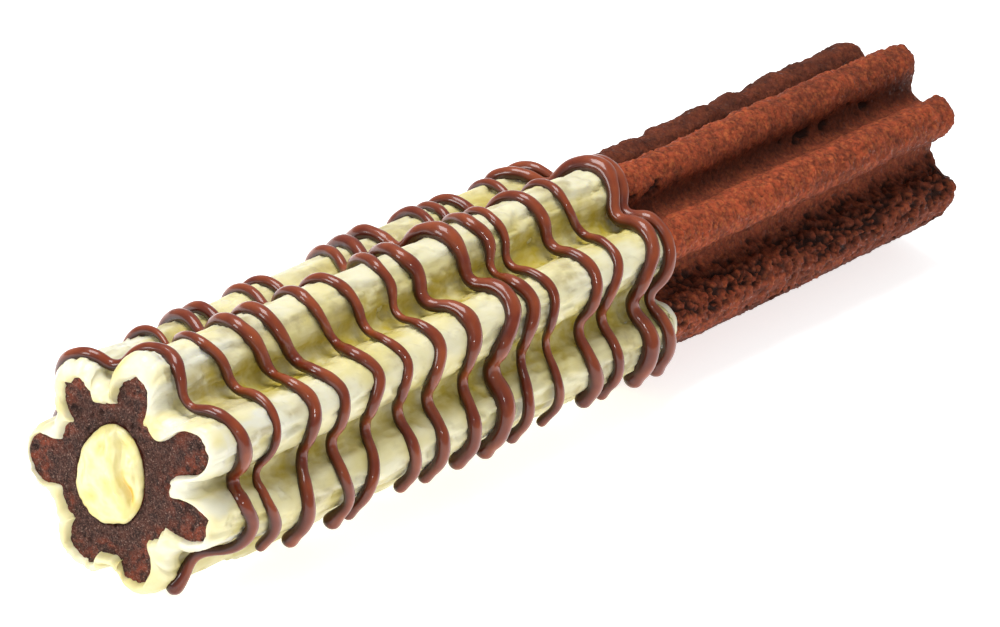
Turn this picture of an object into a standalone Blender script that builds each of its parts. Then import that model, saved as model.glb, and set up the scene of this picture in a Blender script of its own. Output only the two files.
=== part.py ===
"""Models a chocolate churro filled with cream, half coated in white icing and drizzled with chocolate.

The churro is a tube of dough with seven ribs, and lies along X on two of them, with one rib straight up.
Its iced end, cut flat, is at -X. Stations are measured along it from that cut face, and angles round it
from the top rib towards -Y. A place round it is counted in ribs: 0 is the top rib's crest, 1 the next one's
towards -Y, and 0.5 the valley between them.
"""

import math

import bmesh
import bpy
import numpy as np
from mathutils import Vector, noise

MM = 0.001

# Dough: a ribbed tube, cut flat at the iced end and a little aslant at the other
RIBS = 7
LENGTH = 215 * MM
DOUGH_REACH = 17.5 * MM
DOUGH_TIP_ROUND = 3.5 * MM
DOUGH_VALLEY_ROUND = 2.6 * MM
CUT_EDGE_ROUND = 0.6 * MM
FAR_EDGE_ROUND = 1.6 * MM
FAR_SLANT = 0.2
SLANT_START = 130 * MM
BORE_HALF_WIDTH = 6.3 * MM
BORE_HALF_HEIGHT = 8.2 * MM
BORE_SIDE = 1.6 * MM
BORE_EGG = 0.1

# How the ribs differ, from the top rib round towards -Y: how far each leans and reaches out, and how full the
# valley after it is. The rows are for the cut face, the length behind it and the bare part.
LEAN_DEG = ((0, 1, -8, 1, -9, 5, 7), (0, 1.5, 5, 0, 0, 0, 0), (0, 0, 4, -12, 0, 0, 0))
REACH = ((1, 1.06, 1, 0.98, 0.96, 0.97, 1), (0.98, 0.98, 1.05, 1, 1, 1, 1), (0.95, 0.955, 1, 0.98, 1, 1, 0.96))
FILL = ((0, 0, 0.1, 0.35, 0.25, 0.25, 0.2), (0, 0, 0.25, 0, 0, 0, 0), (0, 0, 0.9, 0, 0, 0, 0))
CUT_FADE = 24 * MM
FAR_START = 105 * MM
FAR_FULL = 140 * MM

# Slow drift along each rib, and the droop of the whole churro behind the icing
RIB_LEAN_DEG = 1.5
RIB_REACH = 0.02
RIB_WAVE = 55 * MM
RIB_SEED_STEP = 3.7
LEAN_SEED = 1.5
REACH_SEED = 7.5
SAG = 0.6 * MM
FAR_SAG = 0.2 * MM
SAG_END = 150 * MM

# Crags of the bare crust
CRAG_DEPTH = 0.45 * MM
CRAG_SIZE = 6.5 * MM
CRAG_SEED = 3
BARE_RING_STEP = 4.6 * MM

# Icing: a sleeve round the cut end, with a rounded rim that laps over the cut face
ICED_LENGTH = 123 * MM
ICING_REACH = 18.7 * MM
ICING_TIP_ROUND = 4.6 * MM
ICING_VALLEY_ROUND = 1.9 * MM
ICING_RING_STEP = 10 * MM
FIRST_WALL = 1.2 * MM
LAST_WALL = 121.2 * MM
LUMP_DEPTH = 0.35 * MM
LUMP_SIZE = 11 * MM
LUMP_SEED = 11
FAR_RIM_WAVE = 1.6 * MM
FAR_RIM_SHARE = 0.55
GAP = 0.3 * MM
KEPT_TRIANGLES = 0.76

# How much thicker the icing is at its rim, by ribs, in mm
RIM_SWELL = (1.8, 0.3, 0.2, 0, -0.4, -0.4, 0.3)
RIM_FADE = 8 * MM

# The lip's inner edge on the cut face, in mm: it laps round an arm of dough in each rib. An arm is full long
# within its flat and ends at its foot, both given as shares of a rib. LIP_VALLEYS is the edge between two arms.
LIP_TIPS = (16.2, 18.2, 16.9, 15.9, 15.3, 15.9, 16.3)
LIP_FLATS = (0.05, 0.13, 0.05, 0.04, 0.07, 0.1, 0.05)
LIP_FEET = (0.34, 0.46, 0.4, 0.33, 0.38, 0.42, 0.34)
LIP_VALLEYS = (10.3, 9.3, 10.5, 12.4, 11.6, 11.4, 11.6)
LIP_MARGIN = 0.25 * MM
LIP_THICKNESS = 1.5 * MM

# The lip's section: how far out each ring is, as a share from the inner edge to the wall, and how far it stands
# proud, as a share of the lip's thickness
LIP_SECTION = ((0.05, 0.75), (0.45, 1.0), (0.85, 0.55))

# Stations, in mm, of the rings that the dough and the sleeve's inner wall share, so that their gap stays even
SHARED_STATIONS = (0.9, 8, 16, 24, 50, 76, 105, 114, 123)

# The plane that the underside of the icing is pressed flat on
REST_DEPTH = 16.9 * MM
REST_CATCH = 0.45 * MM

# Cream in the bore, with a creased dome standing out of the cut face
CREAM_POINTS = 28
CREAM_DOME = 3.0 * MM
CREAM_DOME_RINGS = 5
CREASE_DEPTH = 0.9 * MM
CREASE_WIDTH = 1.3 * MM
CREASE_SIDE = -1.8 * MM
CREASE_TILT = 0.46
CREAM_FAR_RECESS = 0.5 * MM

# Drizzle: strands over the top. Each row has a strand's width and the stations at which it crosses these places
# round the churro, in mm. Neighbours meet at the last place.
CROSSINGS = (2, 1.75, 1.5, 1.25, 1, 0.75, 0.5, 0.25, 0, -1, -2)
STRANDS = (
    (2.3, (8.0, 6.5, 7.5, 6.5, 5.5, 4.5, 4.0, 4.5, 6.0, 8.0, 9.5)),
    (1.6, (14.5, 12.5, 13.5, 14.5, 15.5, 16.0, 16.5, 15.5, 14.5, 13.0, 10.5)),
    (2.3, (22.5, 22.5, 25.0, 24.5, 25.5, 24.5, 25.5, 24.5, 24.0, 24.0, 27.0)),
    (2.0, (33.5, 32.0, 32.5, 32.5, 33.0, 31.0, 32.0, 30.5, 30.5, 28.5, 28.0)),
    (1.9, (38.0, 40.0, 41.5, 40.5, 42.5, 41.0, 42.5, 41.0, 41.0, 43.5, 46.0)),
    (1.8, (50.5, 50.0, 50.0, 48.5, 50.0, 49.0, 50.5, 50.0, 49.0, 48.0, 47.0)),
    (1.9, (57.5, 57.5, 57.5, 56.5, 58.5, 58.0, 58.5, 59.5, 60.0, 61.5, 63.5)),
    (2.4, (66.0, 66.0, 67.0, 66.0, 67.5, 67.5, 66.0, 66.5, 66.0, 65.5, 65.0)),
    (2.7, (73.5, 74.5, 74.5, 74.5, 78.0, 79.0, 78.0, 78.0, 78.0, 76.0, 80.0)),
    (2.1, (80.5, 80.5, 82.5, 81.5, 83.5, 83.0, 84.0, 85.5, 85.0, 82.5, 81.0)),
    (1.6, (89.5, 89.0, 90.0, 88.5, 89.5, 89.0, 89.0, 90.0, 90.5, 91.5, 94.0)),
    (2.2, (100.0, 98.5, 99.0, 100.0, 101.0, 100.5, 100.5, 100.5, 100.0, 96.5, 95.0)),
    (1.8, (106.0, 105.5, 105.5, 104.5, 107.5, 108.5, 109.0, 107.5, 108.0, 105.5, 106.0)),
    (2.7, (114.0, 114.5, 113.5, 113.5, 117.0, 118.5, 118.5, 120.0, 121.0, 112.5, 113.5)),
    (2.2, (120.5, 119.5, 118.5, 120.5, 121.5, 122.0, 121.0, 122.5, 123.0, 117.0, 115.0)),
)
STRAND_END = 2.17
FIRST_STRAND_END = 2.84
FIRST_TAIL_PLACE = 3
FIRST_TAIL_STATION = 3.5
STRAND_SINK = 0.45 * MM
STRAND_VALLEY_ROUND = 2.5 * MM
STRAND_SWELL = 0.14
STRAND_TAPER = 0.75
SWELL_STEP = 0.35
TAIL_DROP = 2.9 * MM
TAIL_VARIATION = 1.2 * MM
WELD = 0.01 * MM

# Half a rib is sampled at these shares of its tip arc and its valley arc
TIP_SHARES = (0, 0.5, 1)
VALLEY_SHARES = (0.5, 1)
STRAND_VALLEY_SHARES = (1,)

# Where the middle of the cut face lies in the world
CENTRE_X = (LENGTH + FAR_SLANT * DOUGH_REACH - CREAM_DOME) / 2
RIB_ANGLE = 2 * math.pi / RIBS

COLOURS = {
    "dough": (0.16, 0.045, 0.022, 0.75, 0.0),
    "filling": (0.87, 0.80, 0.42, 0.35, 0.0),
    "icing": (0.88, 0.85, 0.55, 0.3, 0.0),
    "drizzle": (0.2, 0.045, 0.02, 0.2, 0.0),
}


def clear_scene():
    for obj in list(bpy.data.objects):
        bpy.data.objects.remove(obj)


def make_material(name):
    red, green, blue, roughness, metallic = COLOURS[name]
    material = bpy.data.materials.new(name)
    material.use_nodes = True
    shader = material.node_tree.nodes["Principled BSDF"]
    shader.inputs["Base Color"].default_value = (red, green, blue, 1)
    shader.inputs["Roughness"].default_value = roughness
    shader.inputs["Metallic"].default_value = metallic
    return material


def smooth(share):
    """Eases from 0 to 1 as share goes from 0 to 1."""
    share = min(max(share, 0), 1)
    return share * share * (3 - 2 * share)


def half_rib(reach, tip_round, valley_round, valley_shares):
    """Points (across, out) of half a rib, from its crest down to the valley's floor.

    The tip and the valley are arcs that touch, and the valley's centre is on the line between two ribs.
    """
    half = RIB_ANGLE / 2
    tip_centre = Vector((0, reach - tip_round))
    contact = tip_round + valley_round
    sideways = tip_centre.y * math.sin(half)
    out = tip_centre.y * math.cos(half) + math.sqrt(contact**2 - sideways**2)
    valley_centre = out * Vector((math.sin(half), math.cos(half)))
    towards = valley_centre - tip_centre
    tip_end = math.atan2(towards.y, towards.x)
    floor = math.atan2(-valley_centre.y, -valley_centre.x) % (2 * math.pi)
    points = []
    for share in TIP_SHARES:
        angle = math.pi / 2 + share * (tip_end - math.pi / 2)
        points.append(tip_centre + tip_round * Vector((math.cos(angle), math.sin(angle))))
    for share in valley_shares:
        angle = tip_end + math.pi + share * (floor - tip_end - math.pi)
        points.append(valley_centre + valley_round * Vector((math.cos(angle), math.sin(angle))))
    return points


def outline(reach, tip_round, valley_round, valley_shares=VALLEY_SHARES):
    """The regular star's outline from the top rib's crest on, as (radius, angle, depth) triples.

    The depth is how far a point lies below the crests.
    """
    points = half_rib(reach, tip_round, valley_round, valley_shares)
    half = [(point.length, math.atan2(point.x, point.y)) for point in points]
    rib = half + [(radius, RIB_ANGLE - angle) for radius, angle in half[-2:0:-1]]
    turns = [number * RIB_ANGLE for number in range(RIBS)]
    return [(radius, angle + turn, reach - radius) for turn in turns for radius, angle in rib]


def dough_outline(growth=0.0):
    """The dough's regular outline, moved out by growth."""
    return outline(DOUGH_REACH + growth, DOUGH_TIP_ROUND + growth, DOUGH_VALLEY_ROUND - growth)


def along(rows, number, station):
    """A rib's value at a station, from the rows for the cut face, the length behind it and the bare part."""
    cut, middle, far = [row[number] for row in rows]
    value = cut + (middle - cut) * smooth(station / CUT_FADE)
    return value + (far - value) * smooth((station - FAR_START) / (FAR_FULL - FAR_START))


def drift(number, station, seed):
    """A slow random change along a rib, from -1 to 1, that sets in behind the cut face."""
    value = noise.noise(Vector((number * RIB_SEED_STEP, station / RIB_WAVE, seed)))
    return value * smooth(station / CUT_FADE)


def rib_lean(number, station):
    return math.radians(along(LEAN_DEG, number, station) + RIB_LEAN_DEG * drift(number, station, LEAN_SEED))


def rib_reach(number, station):
    return along(REACH, number, station) + RIB_REACH * drift(number, station, REACH_SEED)


def blended(angle, value_of):
    """What value_of gives for the two ribs beside an angle, blended by how near they are."""
    number = math.floor(angle / RIB_ANGLE)
    share = smooth(angle / RIB_ANGLE - number)
    return value_of(number % RIBS) * (1 - share) + value_of((number + 1) % RIBS) * share


def warped(radius, angle, depth, station):
    """The radius and angle of a regular outline's point after the ribs' own leans, reaches and valleys."""
    radius += depth * along(FILL, math.floor(angle / RIB_ANGLE) % RIBS, station)
    reach = blended(angle, lambda number: rib_reach(number, station))
    lean = blended(angle, lambda number: rib_lean(number, station))
    return radius * reach, angle + lean


def sag(station):
    """How far the axis has sunk at a station."""
    sunk = SAG * smooth((station - FAR_START) / (FAR_FULL - FAR_START))
    return sunk - (SAG - FAR_SAG) * smooth((station - SAG_END) / (LENGTH - SAG_END))


def world(station, side, height):
    """The world point at a station, to the side of the axis and above it. The far end is aslant."""
    slant = FAR_SLANT * side * smooth((station - SLANT_START) / (LENGTH - SLANT_START))
    return Vector((station + slant - CENTRE_X, side, REST_DEPTH + height))


def place(radius, angle, station):
    """The world point at a radius, angle and station."""
    return world(station, -radius * math.sin(angle), radius * math.cos(angle) - sag(station))


def ring(points, station):
    return [place(*warped(radius, angle, depth, station), station) for radius, angle, depth in points]


def bumpy(points, depth, size, seed):
    """Moves the points of a ring out or in by a smooth noise."""
    moved = []
    for point in points:
        outward = Vector((0, point.y, point.z - REST_DEPTH)).normalized()
        moved.append(point + outward * depth * noise.noise(point / size + Vector((seed, 0, 0))))
    return moved


def pressed(points, catch):
    """Points under the resting plane, or less than catch above it, are pressed flat on it."""
    return [Vector((point.x, point.y, 0)) if point.z < catch else point for point in points]


def add_object(name, mesh, material, collection):
    obj = bpy.data.objects.new(name, mesh)
    mesh.materials.append(material)
    collection.objects.link(obj)
    return obj


def loft(name, rings, around=True):
    """A mesh through rings of equally many points. It joins the last ring to the first, or caps both."""
    shape = bmesh.new()
    rows = [[shape.verts.new(point) for point in points] for points in rings]
    count = len(rows[0])
    pairs = list(zip(rows, rows[1:]))
    if around:
        pairs.append((rows[-1], rows[0]))
    for first, second in pairs:
        for k in range(count):
            shape.faces.new((first[k], first[(k + 1) % count], second[(k + 1) % count], second[k]))
    if not around:
        shape.faces.new(rows[0])
        shape.faces.new(rows[-1])
    bmesh.ops.recalc_face_normals(shape, faces=shape.faces)
    bmesh.ops.triangulate(shape, faces=shape.faces)
    mesh = bpy.data.meshes.new(name)
    shape.to_mesh(mesh)
    shape.free()
    mesh.shade_smooth()
    mesh.set_sharp_from_angle(angle=math.radians(40))
    return mesh


def bore_point(angle, inset, share=1.0):
    """Side and height of a point in the bore's section, at a share of the way out to its egg-shaped wall."""
    width = (BORE_HALF_WIDTH - inset) * (1 - BORE_EGG * math.cos(angle))
    height = BORE_HALF_HEIGHT - inset
    return BORE_SIDE - share * width * math.sin(angle), share * height * math.cos(angle)


def bore_ring(station):
    return [world(station, *bore_point(angle, 0)) for _, angle, _ in dough_outline()]


def make_dough(collection):
    """The ribbed tube, craggy where it is bare."""
    rings = [ring(dough_outline(-CUT_EDGE_ROUND), 0)]
    rings += [ring(dough_outline(), station * MM) for station in SHARED_STATIONS]
    bare = LENGTH - ICED_LENGTH - FAR_EDGE_ROUND
    count = round(bare / BARE_RING_STEP)
    for k in range(1, count + 1):
        points = ring(dough_outline(), ICED_LENGTH + bare * k / count)
        rings.append(pressed(bumpy(points, CRAG_DEPTH, CRAG_SIZE, CRAG_SEED), 0))
    rings.append(ring(dough_outline(-FAR_EDGE_ROUND), LENGTH))
    rings += [bore_ring(LENGTH), bore_ring(0)]
    return add_object("dough", loft("dough", rings), make_material("dough"), collection)


def cream_ring(share, station_of):
    """A ring of the cream at a share of its full width. station_of gives each point's station."""
    points = []
    for k in range(CREAM_POINTS):
        side, height = bore_point(2 * math.pi * k / CREAM_POINTS, GAP, share)
        points.append(world(station_of(side, height), side, height))
    return points


def dome_station(share):
    """Gives the station of the dome's surface at a share of its width, with the crease that runs down it."""
    proud = CREAM_DOME * math.sqrt(max(1 - share**2, 0))

    def station_of(side, height):
        away = side - CREASE_SIDE - CREASE_TILT * height
        crease = CREASE_DEPTH * math.exp(-((away / CREASE_WIDTH) ** 2))
        return crease * (1 - share**2) - proud

    return station_of


def make_filling(collection):
    """The cream that fills the bore, domed at the cut face."""
    rings = []
    for k in range(1, CREAM_DOME_RINGS + 1):
        share = math.sin(math.pi / 2 * k / CREAM_DOME_RINGS)
        rings.append(cream_ring(share, dome_station(share)))
    rings.append(cream_ring(1, lambda side, height: LENGTH - CREAM_FAR_RECESS))
    return add_object("filling", loft("filling", rings, around=False), make_material("filling"), collection)


def rim_swell(angle, station):
    """How much further out the icing's surface is near its rim."""
    return MM * blended(angle, lambda number: RIM_SWELL[number]) * (1 - smooth(station / RIM_FADE))


def icing_outline(station):
    points = outline(ICING_REACH, ICING_TIP_ROUND, ICING_VALLEY_ROUND)
    return [(radius + rim_swell(angle, station), angle, depth) for radius, angle, depth in points]


def lip_radius(position):
    """How far from the axis the lip's inner edge runs on the cut face, at a place round the churro."""
    number = math.floor(position)
    share = position - number
    valley = LIP_VALLEYS[number]

    def arm(rib, away):
        left = 1 - smooth((away - LIP_FLATS[rib]) / (LIP_FEET[rib] - LIP_FLATS[rib]))
        return left * (LIP_TIPS[rib] - valley)

    return MM * (valley + max(arm(number, share), arm((number + 1) % RIBS, 1 - share)))


def lip_ring(station):
    """The lip's inner edge, kept within the dough's outline."""
    full = dough_outline()
    points = []
    for index, (radius, angle, depth) in enumerate(full):
        radius, angle = warped(radius, angle, depth, 0)
        inner = min(lip_radius(index * RIBS / len(full)), radius - LIP_MARGIN)
        points.append(place(inner, angle, station))
    return points


def between(inner, outer, share):
    """Points at a share of the way from one ring to another."""
    return [a.lerp(b, share) for a, b in zip(inner, outer)]


def far_rim(points):
    """The sleeve's far rim runs unevenly round the churro."""
    return [point + Vector((FAR_RIM_WAVE * noise.noise(point / LUMP_SIZE), 0, 0)) for point in points]


def icing_rings():
    """The sleeve's rings: the lip over the cut face, the outer wall, the far rim and the inner wall."""
    rings = [lip_ring(-GAP)]
    for share, proud in LIP_SECTION:
        station = -proud * LIP_THICKNESS
        rings.append(between(lip_ring(station), ring(icing_outline(station), station), share))
    span = LAST_WALL - FIRST_WALL
    count = round(span / ICING_RING_STEP)
    for k in range(count + 1):
        station = FIRST_WALL + span * k / count
        wall = bumpy(ring(icing_outline(station), station), LUMP_DEPTH, LUMP_SIZE, LUMP_SEED)
        rings.append(pressed(wall, REST_CATCH))
    inner = ring(dough_outline(GAP), ICED_LENGTH)
    outer = ring(icing_outline(ICED_LENGTH), ICED_LENGTH)
    rings.append(far_rim(between(inner, outer, FAR_RIM_SHARE)))
    rings += [ring(dough_outline(GAP), station * MM) for station in reversed(SHARED_STATIONS)]
    rings.append(ring(dough_outline(GAP), -GAP))
    return rings


def strand_points(crossings, width, number):
    """A strand's centre line, from its tail on the -Y side over the top rib to the second rib on +Y.

    The first strand's tail runs on along the third rib. The others hang free below the second.
    """
    lift = width / 2 - STRAND_SINK
    full = outline(ICING_REACH + lift, ICING_TIP_ROUND + lift, STRAND_VALLEY_ROUND, STRAND_VALLEY_SHARES)
    per_rib = len(full) // RIBS
    places, stations, end = CROSSINGS, crossings, STRAND_END
    if number == 0:
        places = (FIRST_TAIL_PLACE, *places)
        stations = (FIRST_TAIL_STATION, *stations)
        end = FIRST_STRAND_END
    points = []
    for index in range(round(end * per_rib), CROSSINGS[-1] * per_rib - 1, -1):
        station = float(np.interp(-index / per_rib, -np.array(places), stations)) * MM
        radius, angle, depth = full[index % len(full)]
        radius += rim_swell(angle, station)
        points.append(place(*warped(radius, angle, depth, station), station))
    if number > 0:
        drop = TAIL_DROP + TAIL_VARIATION * noise.noise(Vector((number * RIB_SEED_STEP, 0.5, 0.5)))
        points.insert(0, points[0] - Vector((0, 0, drop)))
    return points


def make_strand(points, width, number, collection):
    """One strand: a tube on a curve, made a mesh with its ends welded."""
    name = f"strand_{number}"
    data = bpy.data.curves.new(name, "CURVE")
    data.dimensions = "3D"
    data.bevel_depth = width / 2
    data.bevel_resolution = 1
    data.use_fill_caps = True
    spline = data.splines.new("POLY")
    spline.points.add(len(points) - 1)
    for k, point in enumerate(points):
        spline.points[k].co = (*point, 1)
        swell = 1 + STRAND_SWELL * noise.noise(Vector((k * SWELL_STEP, number * RIB_SEED_STEP, 0.5)))
        spline.points[k].radius = swell * (STRAND_TAPER if k in (0, len(points) - 1) else 1)
    guide = bpy.data.objects.new(name, data)
    collection.objects.link(guide)
    bpy.context.view_layer.update()
    evaluated = guide.evaluated_get(bpy.context.evaluated_depsgraph_get())
    mesh = bpy.data.meshes.new_from_object(evaluated)
    shape = bmesh.new()
    shape.from_mesh(mesh)
    bmesh.ops.remove_doubles(shape, verts=shape.verts, dist=WELD)
    bmesh.ops.recalc_face_normals(shape, faces=shape.faces)
    shape.to_mesh(mesh)
    shape.free()
    strand = bpy.data.objects.new(name + "_solid", mesh)
    strand.matrix_world = guide.matrix_world.copy()
    bpy.data.objects.remove(guide)
    collection.objects.link(strand)


def make_drizzle(collection):
    """All strands, in a collection of their own."""
    for number, (width, crossings) in enumerate(STRANDS):
        points = strand_points(crossings, width * MM, number)
        make_strand(points, width * MM, number, collection)


def drop_scraps(obj):
    """Keeps the largest piece of a mesh, without loose scraps and sealed hollows."""
    shape = bmesh.new()
    shape.from_mesh(obj.data)
    left, pieces = set(shape.verts), []
    while left:
        piece, edge = set(), [left.pop()]
        while edge:
            vert = edge.pop()
            piece.add(vert)
            for link in vert.link_edges:
                other = link.other_vert(vert)
                if other in left:
                    left.remove(other)
                    edge.append(other)
        pieces.append(piece)
    pieces.sort(key=len)
    scraps = [vert for piece in pieces[:-1] for vert in piece]
    bmesh.ops.delete(shape, geom=scraps, context="VERTS")
    bmesh.ops.triangulate(shape, faces=shape.faces)
    shape.to_mesh(obj.data)
    shape.free()


def make_icing(collection, drizzle):
    """The sleeve of icing with the drizzle fused on."""
    icing = add_object("icing", loft("icing", icing_rings()), make_material("icing"), collection)
    icing.data.materials.append(make_material("drizzle"))
    make_drizzle(drizzle)
    fuse = icing.modifiers.new("fuse", "BOOLEAN")
    fuse.operation = "UNION"
    fuse.operand_type = "COLLECTION"
    fuse.collection = drizzle
    fuse.solver = "EXACT"
    bpy.context.view_layer.update()
    fused = bpy.data.meshes.new_from_object(icing.evaluated_get(bpy.context.evaluated_depsgraph_get()))
    icing.modifiers.clear()
    icing.data = fused
    thin = icing.modifiers.new("thin", "DECIMATE")
    thin.ratio = KEPT_TRIANGLES
    for strand in list(drizzle.objects):
        bpy.data.objects.remove(strand)
    drop_scraps(icing)
    return icing


def main():
    clear_scene()
    churro = bpy.data.collections.new("churro")
    drizzle = bpy.data.collections.new("drizzle")
    bpy.context.scene.collection.children.link(churro)
    bpy.context.scene.collection.children.link(drizzle)
    make_dough(churro)
    make_filling(churro)
    make_icing(churro, drizzle)
    bpy.data.collections.remove(drizzle)


main()
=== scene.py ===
"""Dresses the churro: crumbly chocolate dough, glossy cream, spread icing and chocolate drizzle.

Lengths are in millimetres until a mesh is made. Stations run along the churro from its cut face, angles run
round it from the top rib towards -Y, and a place round it is counted in ribs: 0 is the top rib's crest, 1 the
next rib's towards -Y and 0.5 the valley between them.
"""

import math

import bpy
import numpy as np
from mathutils import Matrix, Vector, noise


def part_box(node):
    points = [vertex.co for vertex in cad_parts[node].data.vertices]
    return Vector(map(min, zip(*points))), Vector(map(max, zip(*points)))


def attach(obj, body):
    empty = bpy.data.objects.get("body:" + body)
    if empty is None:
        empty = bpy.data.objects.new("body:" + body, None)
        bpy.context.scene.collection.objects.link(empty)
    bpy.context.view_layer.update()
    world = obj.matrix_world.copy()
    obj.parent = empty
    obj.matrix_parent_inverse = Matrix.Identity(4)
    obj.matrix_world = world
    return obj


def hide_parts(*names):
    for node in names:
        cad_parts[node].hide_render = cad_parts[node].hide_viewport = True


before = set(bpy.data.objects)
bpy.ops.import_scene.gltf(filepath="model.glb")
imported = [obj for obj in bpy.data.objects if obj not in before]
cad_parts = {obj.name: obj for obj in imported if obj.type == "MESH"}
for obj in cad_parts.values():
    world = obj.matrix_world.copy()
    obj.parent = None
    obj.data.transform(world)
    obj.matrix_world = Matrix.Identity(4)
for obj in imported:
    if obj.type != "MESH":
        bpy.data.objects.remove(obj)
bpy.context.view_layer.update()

MM = 0.001
RIBS = 7
RIB_ANGLE = 2 * math.pi / RIBS

cream_low, cream_high = [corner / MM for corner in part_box("filling")]
CUT_X = (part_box("dough")[0] / MM).x
GROUND = (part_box("icing")[0] / MM).z
LENGTH = 215
AXIS_Z = (cream_low.z + cream_high.z) / 2
CREAM_WIDTH = (cream_high.y - cream_low.y) / 2
CREAM_HEIGHT = (cream_high.z - cream_low.z) / 2
CREAM_DOME = CUT_X - cream_low.x

# Dough
DOUGH_REACH = 17.5
DOUGH_TIP_ROUND = 3.5
DOUGH_VALLEY_ROUND = 2.6
FAR_SLANT = 0.2
SLANT_START = 130
FAR_EDGE_ROUND = 2.2
BORE_WIDTH = CREAM_WIDTH + 0.3
BORE_HEIGHT = CREAM_HEIGHT + 0.3
BORE_SIDE = 1.6
BORE_EGG = 0.1
CRUST_PER_RIB = 58
CRUST_STEP = 0.44
FAR_EDGE_ROWS = 7
FAR_FACE_ROWS = 10
CRUMB_PER_RIB = 64
CRUMB_RINGS = 72
# The crust under the icing has few stations and no relief, which starts just before the bare part
HIDDEN_STATIONS = (0, 1, 8, 16, 24, 60, 100, 118)
RELIEF_START = 118
BARE_START = 120
KNOB_SIZE = 1.5
GRIT_SIZE = 0.8
CRAG_SIZE = (1.1, 1.6, 1.6)
# Bands along the bare part, each one's strength, place and width: where it's craggy, and where a valley's
# floor catches light
CRAGGY_BANDS = ((1, 1.74, 0.2), (0.35, 2.3, 0.4))
LIGHT_BANDS = ((0.42, 0.56, 0.16), (0.55, 1.48, 0.14))
EVEN_PLACES = (0.56, 1.47)
EVEN_WIDTH = 0.1
LOWER_LEDGE = 1.27
FAR_RIB = 6

# How the ribs differ, from the top rib round towards -Y: how far each leans and reaches out, and how full the
# valley after it is. The rows are for the cut face, the length behind it and the bare part.
LEAN_DEG = (
    (0, 1, -8, 1, -9, 5, 7),
    (0, 1.5, 5, 0, 0, 0, 0),
    (0, 0, 4, -12, 0, 0, 0),
)
REACH = (
    (1, 1.06, 1, 0.98, 0.96, 0.97, 1),
    (0.98, 0.98, 1.05, 1, 1, 1, 1),
    (0.95, 0.955, 1, 0.94, 1, 1, 0.96),
)
FILL = (
    (0, 0, 0.1, 0.35, 0.25, 0.25, 0.2),
    (0, 0, 0.25, 0, 0, 0, 0),
    (0, 0, 1, 0, 0, 0, 0),
)
# How beaded each rib of the bare part is, and how much painted light each one gets as the lamps fall on it
RIB_BEADS = (0.6, 0.4, 0.4, 0.5, 0.5, 0.7, 1.2)
RIB_PAINTED_LIGHT = (0.74, 0.95, 0.42, 0.4, 0.5, 0.5, 0.12)
CUT_FADE = 24
FAR_START = 105
FAR_FULL = 140
SAG = 0.6
FAR_SAG = 0.2
SAG_END = 150
RIB_LEAN_DEG = 1.5
RIB_REACH = 0.02
RIB_WAVE = 55

# Icing
ICED_LENGTH = 123
ICING_REACH = 18.7
ICING_TIP_ROUND = 4.6
ICING_VALLEY_ROUND = 1.9
# How much thicker the icing is on each rib near the cut face, and over how much of the length
RIM_SWELL = (1.8, 0.3, 0.2, 0, -0.4, -0.4, 0.3)
RIM_FADE = 8
# The lip's edge on the cut face, for each rib: its radius at the rib's tip, how far from the crest it leaves
# that radius and comes down to the valley's, and its radius in the valley after the rib
LIP_TIPS = (16.2, 18.2, 16.9, 15.9, 15.3, 16.9, 16.3)
LIP_FLATS = (0.05, 0.13, 0.05, 0.04, 0.07, 0.1, 0.05)
LIP_FEET = (0.34, 0.46, 0.4, 0.33, 0.38, 0.42, 0.34)
LIP_VALLEYS = (10.3, 9.3, 10.5, 12.4, 11.6, 11.4, 11.6)
LIP_THICKNESS = 1.35
LIP_DEPTH = 1.2
LIP_ROWS = 19
# Where the lip's crest lies: as a share of its rows, and of the way from its inner edge to the outer row
LIP_TURN = 0.4
LIP_CREST = 0.38
ICING_PER_RIB = 50
ICING_STEP = 0.5
ICING_START = 2
FAR_RIM_WAVE = 1.6
FAR_RIM_ROWS = 8
# Stations of the icing's inner side, next to the dough
INNER_STATIONS = (ICED_LENGTH, 90, 30, 0.2)
# Lengthwise ledges that the knife left: each one's place, height and random seed
KNIFE_LEDGES = ((0.12, 0.6, 201), (1.08, 0.75, 211), (1.9, 0.7, 221), (6.1, 0.6, 231))

# Cream
CREAM_COLUMNS = 180
CREAM_RINGS = 80
CREAM_SHRINK = 0.03
CREAM_END = LENGTH - 0.5
CREASE_SIDE = -1.8
CREASE_TILT = 0.46

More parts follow.
